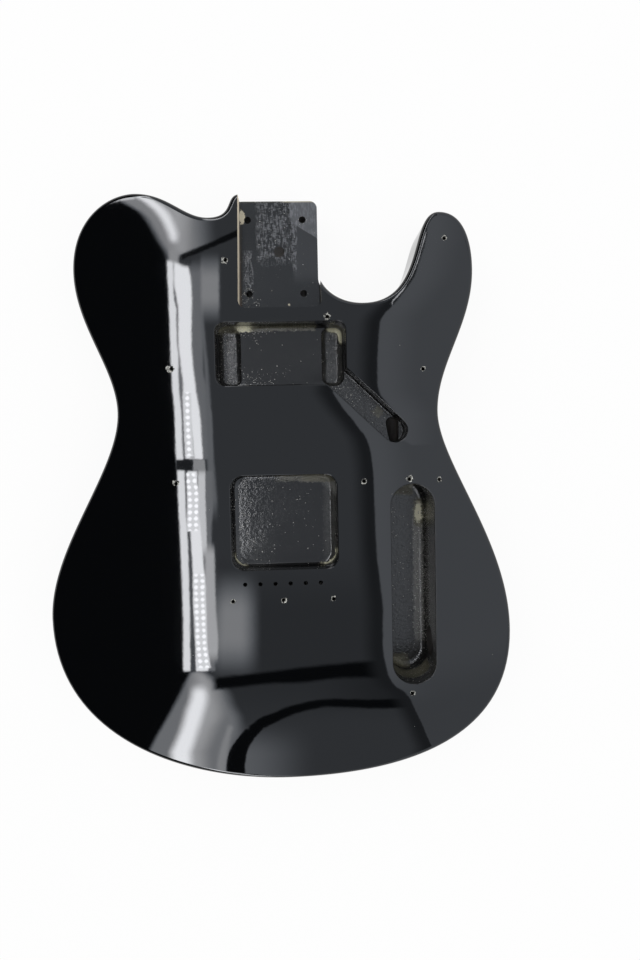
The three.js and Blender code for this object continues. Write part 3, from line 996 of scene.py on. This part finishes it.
plated = Finish("nickel_plate")
plated.place()
turning = plated.noise(0.5, 2.0, 0.5, (0.2, 0.2, 3))
tarnish = plated.noise(2.5, 3.0)
nickel = plated.close(
    Base_Color=plated.blend(tarnish, nickel_grey, tarnish_grey),
    Metallic=1.0,
    Roughness=0.16 + 0.2 * tarnish,
    Normal=plated.bump(turning, 0.01),
)

bpy.ops.object.select_all(action="DESELECT")
bpy.ops.mesh.primitive_cylinder_add(
    vertices=ferrule_sides,
    radius=flange_radius,
    depth=flange_thickness,
    location=(0, string_y, flange_thickness / 2),
)
turned = settled("turned_ferrule", nickel)
work_on(turned)


def cap(height):
    """A test for the round end face at one height."""

    def lies(face):
        return level(height)(face) and len(face.verts) == ferrule_sides

    return lies


choose(turned, "faces", cap(flange_thickness))
bpy.ops.mesh.inset(thickness=flange_radius - barrel_radius, use_even_offset=True)
bpy.ops.mesh.extrude_region_move(
    TRANSFORM_OT_translate={"value": (0, 0, ferrule_length - flange_thickness)}
)
bpy.ops.mesh.inset(thickness=barrel_radius - string_radius, use_even_offset=True)
choose(turned, "faces", cap(0))
bpy.ops.mesh.inset(thickness=flange_radius - cup_radius, use_even_offset=True)
bpy.ops.mesh.extrude_region_move(TRANSFORM_OT_translate={"value": (0, 0, cup_depth)})
bpy.ops.mesh.inset(thickness=cup_radius - string_radius, use_even_offset=True)
choose(turned, "faces", lambda face: len(face.verts) == ferrule_sides)
bpy.ops.mesh.bridge_edge_loops()


def turned_corner(edge):
    """Whether the turned shape bends sharply at an edge."""
    if len(edge.link_faces) != 2:
        return False
    return edge.link_faces[0].normal.angle(edge.link_faces[1].normal) > sharp_bend


choose(turned, "edges", turned_corner)
round_off(ferrule_edge_break, 2)
bpy.ops.mesh.select_all(action="SELECT")
bpy.ops.mesh.normals_make_consistent(inside=False)
close_up()
bpy.ops.object.shade_smooth_by_angle(angle=smooth_angle)
for number, string_x in enumerate(string_xs, start=1):
    bpy.ops.object.select_all(action="DESELECT")
    turned.select_set(True)
    bpy.context.view_layer.objects.active = turned
    bpy.ops.object.duplicate()
    ferrule = bpy.context.object
    ferrule.name = f"ferrule_{number}"
    ferrule.location.x = string_x
    bpy.ops.object.transform_apply(location=True, rotation=False, scale=False)
    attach(ferrule, "root")
    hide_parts(f"string_ferrule_{number}")
bpy.data.objects.remove(turned)

# The floor
# A white table top. The camera and reflections see it as plain white, and it keeps a soft shadow.
floor_size = 8.0
floor_drop = 0.0003
floor_white = (0.9, 0.9, 0.9, 1)
shadow_share = 0.08


def seen_plainly(finish):
    """1 for the camera and for what is mirrored or seen through, 0 for other light."""
    path = finish.add("ShaderNodeLightPath", {}, {})
    seen = path["Is Camera Ray"]
    for kind in ("Is Glossy Ray", "Is Transmission Ray"):
        seen = seen.maths("MAXIMUM", seen, path[kind])
    return seen


table_top = Finish("white_table_top")
lit = table_top.add("ShaderNodeBsdfDiffuse", {}, {"Color": floor_white})["BSDF"]
white = table_top.add("ShaderNodeEmission", {}, {"Color": (1, 1, 1, 1), "Strength": 1.0})
white_share = seen_plainly(table_top) * (1 - shadow_share)
mixed = {0: white_share, 1: lit, 2: white["Emission"]}
shown = table_top.add("ShaderNodeMixShader", {}, mixed)["Shader"]
table_top.add("ShaderNodeOutputMaterial", {}, {"Surface": shown})

bpy.ops.mesh.primitive_plane_add(size=floor_size, location=(0, 0, -floor_drop))
table = bpy.context.object
table.name = "table_top"
table.data.materials.append(table_top.material)

# The ceiling that the gloss mirrors
# A dim room with a long lamp of white bands over the bass side and pale grey panels over the treble
# side. Only mirrored rays meet it. Its lines go by the places in the picture that mirror them.
ceiling_z = 0.9257
ceiling_size = 6.0
picture_middle = (320, 480)
lamp_reach = (150, 250)
lens_pixels = 2 * picture_middle[1] * lens_mm / sensor_mm
gloss_share = 0.04
cool_grey = (0.9, 0.97, 1.08)
near_white = (0.975, 0.99, 1.03)

camera_spin = Euler(camera_tilt).to_matrix()


def ceiling_spot(across, down):
    """Where on the ceiling, in mm, lies what the front mirrors at a place in the picture."""
    ray = Vector((across - picture_middle[0], picture_middle[1] - down, -lens_pixels))
    ray = camera_spin @ ray
    run = (camera_place[2] + ceiling_z - 2 * thickness) / -ray.z
    return 1000 * (camera_place[0] + run * ray.x), 1000 * (camera_place[1] + run * ray.y)


next_to_middle = (picture_middle[0] + 1, picture_middle[1])
spot_mm = ceiling_spot(*next_to_middle)[0] - ceiling_spot(*picture_middle)[0]
ceiling = Finish("ceiling")
x, y, z = ceiling.place()


def past(points):
    """How far right of a line that goes down through points of the picture a place is."""
    stops = [ceiling_spot(*point)[::-1] for point in points]
    return x - ceiling.add("ShaderNodeFloatCurve", {"curve": stops}, {"Value": y})["Value"]


def right_of(points, soft=2):
    """1 right of a line that goes down through points of the picture, and 0 left of it."""
    return ceiling.ramp(past(points), -soft * spot_mm / 2, soft * spot_mm / 2)


def under(points, soft=2):
    """1 below a line that goes right through points of the picture, and 0 above it."""
    stops = [ceiling_spot(*point) for point in points]
    line = ceiling.add("ShaderNodeFloatCurve", {"curve": stops}, {"Value": x})["Value"]
    return ceiling.ramp(y - line, soft * spot_mm / 2, -soft * spot_mm / 2)


def upright_band(points, soft=2):
    """A band that goes down. The third number of each point is its width there."""
    left = [(across - width / 2, down) for across, down, width in points]
    right = [(across + width / 2, down) for across, down, width in points]
    return right_of(left, soft) - right_of(right, soft)


def level_band(points, soft=2):
    """A band that goes right. The third number of each point is its thickness there."""
    upper = [(across, down - width / 2) for across, down, width in points]
    lower = [(across, down + width / 2) for across, down, width in points]
    return under(upper, soft) - under(lower, soft)


def below(down, soft):
    """1 below one height of the picture, and 0 above it."""
    return under([(across, down) for across in lamp_reach], soft)


def row(down, tall, soft=2):
    """A band across the lamp round one height of the picture."""
    return level_band([(across, down, tall) for across in lamp_reach], soft)


def glow(grey):
    """The light that the gloss turns into a grey of 0 to 255."""
    return ((grey / 255 + 0.055) / 1.055) ** 2.4 / gloss_share


def lay(mask, grey):
    """Paints a grey over what is there, where the mask is 1."""
    global shade
    shade = shade + mask * (glow(grey) - shade)


# The room, the panel over the middle, and a soft glare low on it
darkest_grey = 3
shade = glow(darkest_grey)
lamp_edge = [(146, 200), (172, 250), (182, 320), (190, 450), (195, 600), (196, 680), (180, 760)]
lamp_side = right_of(lamp_edge)
lay(lamp_side, 47)
lay(lamp_side * level_band([(200, 645, 130), (520, 645, 130)], 70), 40)
lay(lamp_side * under([(200, 735), (300, 722), (400, 722)], 20), 46)
near_foot = 1 - right_of([(280, 700), (280, 780)], 80)
lay(lamp_side * near_foot * under([(200, 738), (340, 738)], 40), 86)
far_between = level_band([(297, 694, 36), (400, 684, 40)], 10)
lay(lamp_side * far_between * right_of([(352, 640), (352, 760)], 110), 29)
glare = level_band([(200, 625, 70), (260, 625, 70)], 50)
lay(glare * upright_band([(234, 590, 34), (232, 650, 38)], 24), 118)

# The lamp's lower end widens into a flare, beside two dark lines
flare_left = [(192, 671), (186, 682), (179, 697), (172, 710), (150, 750), (144, 764)]
flare_right = [(199, 671), (214, 681), (225, 691), (231, 705)]
flare_right += [(238, 718), (239, 728), (234, 742), (229, 764)]
flare = right_of(flare_left, 7) - right_of(flare_right, 18)
flare = flare * below(672, 4)
lay(flare, 104)
flare_halo = [(203, 680, 16), (207, 700, 20), (206, 712, 26), (201, 730, 22), (192, 752, 22)]
lay(flare * upright_band(flare_halo, 22), 146)
flare_core = [(199, 682, 11), (199, 697, 15), (195.5, 710, 17), (189.5, 730, 17), (181, 752, 19)]
lay(flare * upright_band(flare_core, 12) * below(688, 14), 224)
edge_streak = upright_band([(230, 728, 5), (224, 750, 8), (222, 765, 10)], 5)
lay(flare * edge_streak * below(726, 6), 122)

dark_beam = [(216, 684, 12), (256, 679, 12), (276, 677, 12.5)]
dark_beam += [(297, 675.5, 15), (345, 670.5, 15), (390, 668.5, 18)]
lay(level_band(dark_beam, 5) * right_of([(214, 660), (214, 700)], 8), 4)
bow = [(250, 734, 17), (261, 724, 12.5), (274, 718, 11), (287, 712, 10), (300, 708, 9)]
bow += [(313, 705, 8.5), (327, 703, 8), (374, 704, 9), (410, 703, 9)]
lay(level_band(bow, 3) * right_of([(249, 700), (249, 770)], 3), 4)
bow_foot = [(256, 727, 18), (246.5, 738, 17), (239, 750, 18), (236, 763, 19), (235.5, 775, 19)]
lay(upright_band(bow_foot) * under([(200, 729), (300, 729)], 3), 4)

# The treble panel's edge is broken where the wiring channel crosses it
upper_edge = [(427, 236), (424.5, 245), (421.5, 255), (418.5, 265), (415, 275), (409, 285)]
upper_edge += [(402, 294), (394, 304), (386, 312.5), (381, 320), (379, 334), (377.5, 360)]
upper_edge += [(377.5, 378), (380, 393), (388, 404), (396, 414)]
lower_edge = [(333, 393), (340, 404), (346, 412), (353, 420), (359, 428), (366, 438), (370, 450)]
lower_edge += [(373, 470), (375, 515), (377, 556), (381, 590), (383, 610), (383, 645), (386, 665)]
lower_edge += [(391, 680), (397, 687), (405, 692), (410, 698), (415, 708), (432, 746)]
below_channel = under([(330, 372), (342, 383), (398, 437), (412, 445)], 1)


def panel(shift, soft):
    """1 right of the panel's edge when it is moved right by a shift in the picture."""
    upper = right_of([(across + shift, down) for across, down in upper_edge], soft)
    lower = right_of([(across + shift, down) for across, down in lower_edge], soft)
    return upper + below_channel * (lower - upper)


lay(panel(-15, 20), 25)
lay(panel(0, 2), 71)
lay(panel(24, 40), 62)
lay(panel(0, 2) * under([(380, 690), (520, 660)], 60), 56)
horn_line = [(425, 232, 1), (424, 237, 2), (421.5, 245, 2), (418.7, 255, 2), (415.5, 265, 2.2)]
horn_line += [(411, 275, 2), (405.5, 285, 1.6), (398.5, 295, 1.4), (392, 302, 0.8)]
along_horn = level_band([(380, 266, 76), (440, 266, 76)], 6)
lay(along_horn * upright_band(horn_line, 1), 175)

# The lamp's upper end widens over the shoulder, above a dark bend
above_bend = 1 - under([(150, 258), (178, 255), (236, 234), (300, 206)], 8)
flare_edge = [(118, 199), (128, 204.5), (143, 214), (154, 230), (160, 241), (168, 254)]
shoulder = right_of(flare_edge, 11) - right_of([(198, 195), (202, 245)], 34)
lay(above_bend * shoulder, 122)
lay(above_bend * upright_band([(172, 200, 22), (176, 215, 20), (180, 238, 10)], 20), 150)
sweep = [(135, 195, 11), (147, 200, 12), (158, 208, 12), (164, 215, 11), (168, 222, 10)]
sweep += [(171, 229, 9), (173, 235, 8), (174, 242, 5)]
lay((1 - below(242, 8)) * upright_band(sweep, 10), 220)
glimmer = row(258, 15, 4)
rim_glint = level_band([(104, 204.5, 1.5), (112, 201, 3), (120, 199, 4), (135, 197, 4)], 1.5)
lay(rim_glint * upright_band([(119, 190, 32), (119, 215, 32)], 4), 185)
bend = level_band([(176, 259, 5), (206, 247, 6), (238, 233, 7), (300, 206, 9)])
lay(lamp_side * bend * right_of([(180, 245), (180, 270)], 5), 10)
lay(glimmer * upright_band([(174.5, 250, 9), (173, 264, 10)], 4), 134)

# The lamp's long bands go on below the bend, with a dark seam across them
below_bend = under([(150, 260), (172, 261.5), (187, 266.5), (194, 259), (203, 251), (250, 234)], 5)
below_bend = below_bend * (1 - below(671, 3))
above_seam = 1 - below(459, 3)
below_seam = below(471, 3)
lamp_back = [(187, 262, 31), (187.5, 340, 31), (188.5, 370, 29), (190.5, 385, 31)]
lamp_back += [(192, 400, 33), (194.5, 415, 34), (195.5, 445, 34), (196, 460, 33)]
brighter = below(266, 18)
lay(brighter * below_bend * above_seam * upright_band(lamp_back, 3.5), 98)
patch = row(288, 46, 30)
lay(patch * upright_band([(210, 262, 18), (210, 316, 18)], 4), 122)
thin_line = upright_band([(201, 310, 3), (207, 381, 4), (210, 448, 6), (213, 500, 8)], 4)
lay(thin_line * row(410, 200, 30), 92)
lay(below_bend * below_seam * upright_band([(188, 471, 10), (193, 600, 10), (194, 664, 9)]), 64)
lamp_first = [(170, 262, 6), (170.5, 280, 6), (171, 295, 5), (172.5, 310, 7), (173.5, 340, 6.5)]
lamp_first += [(174.5, 356, 7.5), (175.5, 385, 6.5), (178, 415, 6.5), (179, 447, 6.5)]
lamp_first += [(181, 475, 7.5), (182, 505, 7), (184, 541, 7.5), (186.2, 603, 6.8), (186.8, 664, 7)]
lay(below_bend * upright_band(lamp_first, 2.5), 214)
lamp_second = [(180.5, 262, 13), (182.5, 280, 17), (184, 295, 15.5), (185, 310, 13.5)]
lamp_second += [(185, 345, 13), (186, 356, 12.5), (187.5, 370, 12), (189.2, 385, 12.5)]
lamp_second += [(190.3, 400, 14.5), (192, 415, 16), (192.8, 430, 16.5), (194, 450, 17)]
lay(below_bend * above_seam * upright_band(lamp_second, 3), 222)
below_start = below(398, 6)
lay(below_start * above_seam * upright_band([(189, 398, 1), (192.5, 455, 4)], 2), 168)
lamp_third = [(205, 471, 15), (205.5, 490, 14), (206.5, 505, 13), (206, 530, 11), (207, 570, 10)]
lay(below_bend * below_seam * upright_band(lamp_third, 3), 100)
white_strip = row(512, 84, 16)
lay(white_strip * upright_band([(201.5, 471, 7), (202, 505, 7), (204, 560, 7)], 2), 188)
lamp_low = [(192.2, 471, 9.5), (192.7, 490, 9), (193, 505, 9), (194.7, 520, 9.5), (196.5, 545, 10.5)]
lamp_low += [(199.7, 590, 12), (200.2, 610, 12.5), (201.7, 625, 12.5), (202, 664, 12)]
lay(below_bend * below_seam * upright_band(lamp_low, 2.5), 222)
grey_strip = row(603, 110, 16)
strip_line = [(210, 560, 9), (210.5, 600, 10), (212.5, 640, 11), (213, 664, 9)]
lay(grey_strip * upright_band(strip_line, 3), 158)
seam = row(465, 11, 3)
lay(seam * upright_band([(198, 440, 13), (199, 490, 13)], 2), 130)
lay(seam * upright_band([(184, 440, 17), (185, 490, 17)], 2), 28)

# Its small round lights stand in one row above the seam and in two rows below it
upper_row = row(424, 64)
rows = upper_row + row(502, 58)
rows = rows + row(621, 94)
bead_line = [(187, 392, 8), (188, 430, 8), (189.5, 457, 8), (190.5, 473, 8), (193, 495, 12)]
bead_line += [(193, 531, 12), (199, 575, 12), (199.5, 600, 13), (201, 640, 12), (204, 668, 14)]
bead_rows = rows * upright_band(bead_line, 2)
turns = y * (1 / spot_mm)
across = past([(middle, down) for middle, down, width in bead_line]) * (1 / spot_mm)
swell = across.maths("COSINE", across) * (2 * upper_row - 1)
lay(bead_rows, 205)
lay(bead_rows * ceiling.ramp(turns.maths("SINE", turns) + swell, 0.1, 0.9), 254)

tint = ceiling.blend(ceiling.ramp(shade, 0.0, 6.0), (*cool_grey, 1), (*near_white, 1))
tinted = {"Vector": tint, "Scale": shade}
colour = ceiling.add("ShaderNodeVectorMath", {"operation": "SCALE"}, tinted)["Vector"]
shown = ceiling.add("ShaderNodeEmission", {}, {"Color": colour})["Emission"]
ceiling.add("ShaderNodeOutputMaterial", {}, {"Surface": shown})

bpy.ops.mesh.primitive_plane_add(size=ceiling_size, location=(0, 0, ceiling_z))
panels = bpy.context.object
panels.name = "ceiling"
bpy.ops.object.transform_apply(location=True, rotation=False, scale=True)
panels.data.materials.append(ceiling.material)
panels.visible_camera = False
panels.visible_diffuse = False
panels.visible_transmission = False
panels.visible_volume_scatter = False
panels.visible_shadow = False

# The light
# Even white light from all round and two soft lamps above. Reflections see plain white, too.
sky_strength = 0.75
lamp_size = 1.2
lamp_power = 6.0
lamp_places = ((-0.9, 0.9, 1.4), (1.0, -0.5, 1.6))

sky = Finish("white_room", bpy.data.worlds)
bpy.context.scene.world = sky.material
brightness = sky_strength + (1 - sky_strength) * seen_plainly(sky)
backdrop = sky.add("ShaderNodeBackground", {}, {"Color": (1, 1, 1, 1), "Strength": brightness})
sky.add("ShaderNodeOutputWorld", {}, {"Surface": backdrop["Background"]})

for lamp_place in lamp_places:
    towards_body = (-Vector(lamp_place)).to_track_quat("-Z", "Y").to_euler()
    bpy.ops.object.light_add(type="AREA", location=lamp_place, rotation=towards_body)
    lamp = bpy.context.object
    lamp.data.size = lamp_size
    lamp.data.energy = lamp_power
    lamp.visible_glossy = False
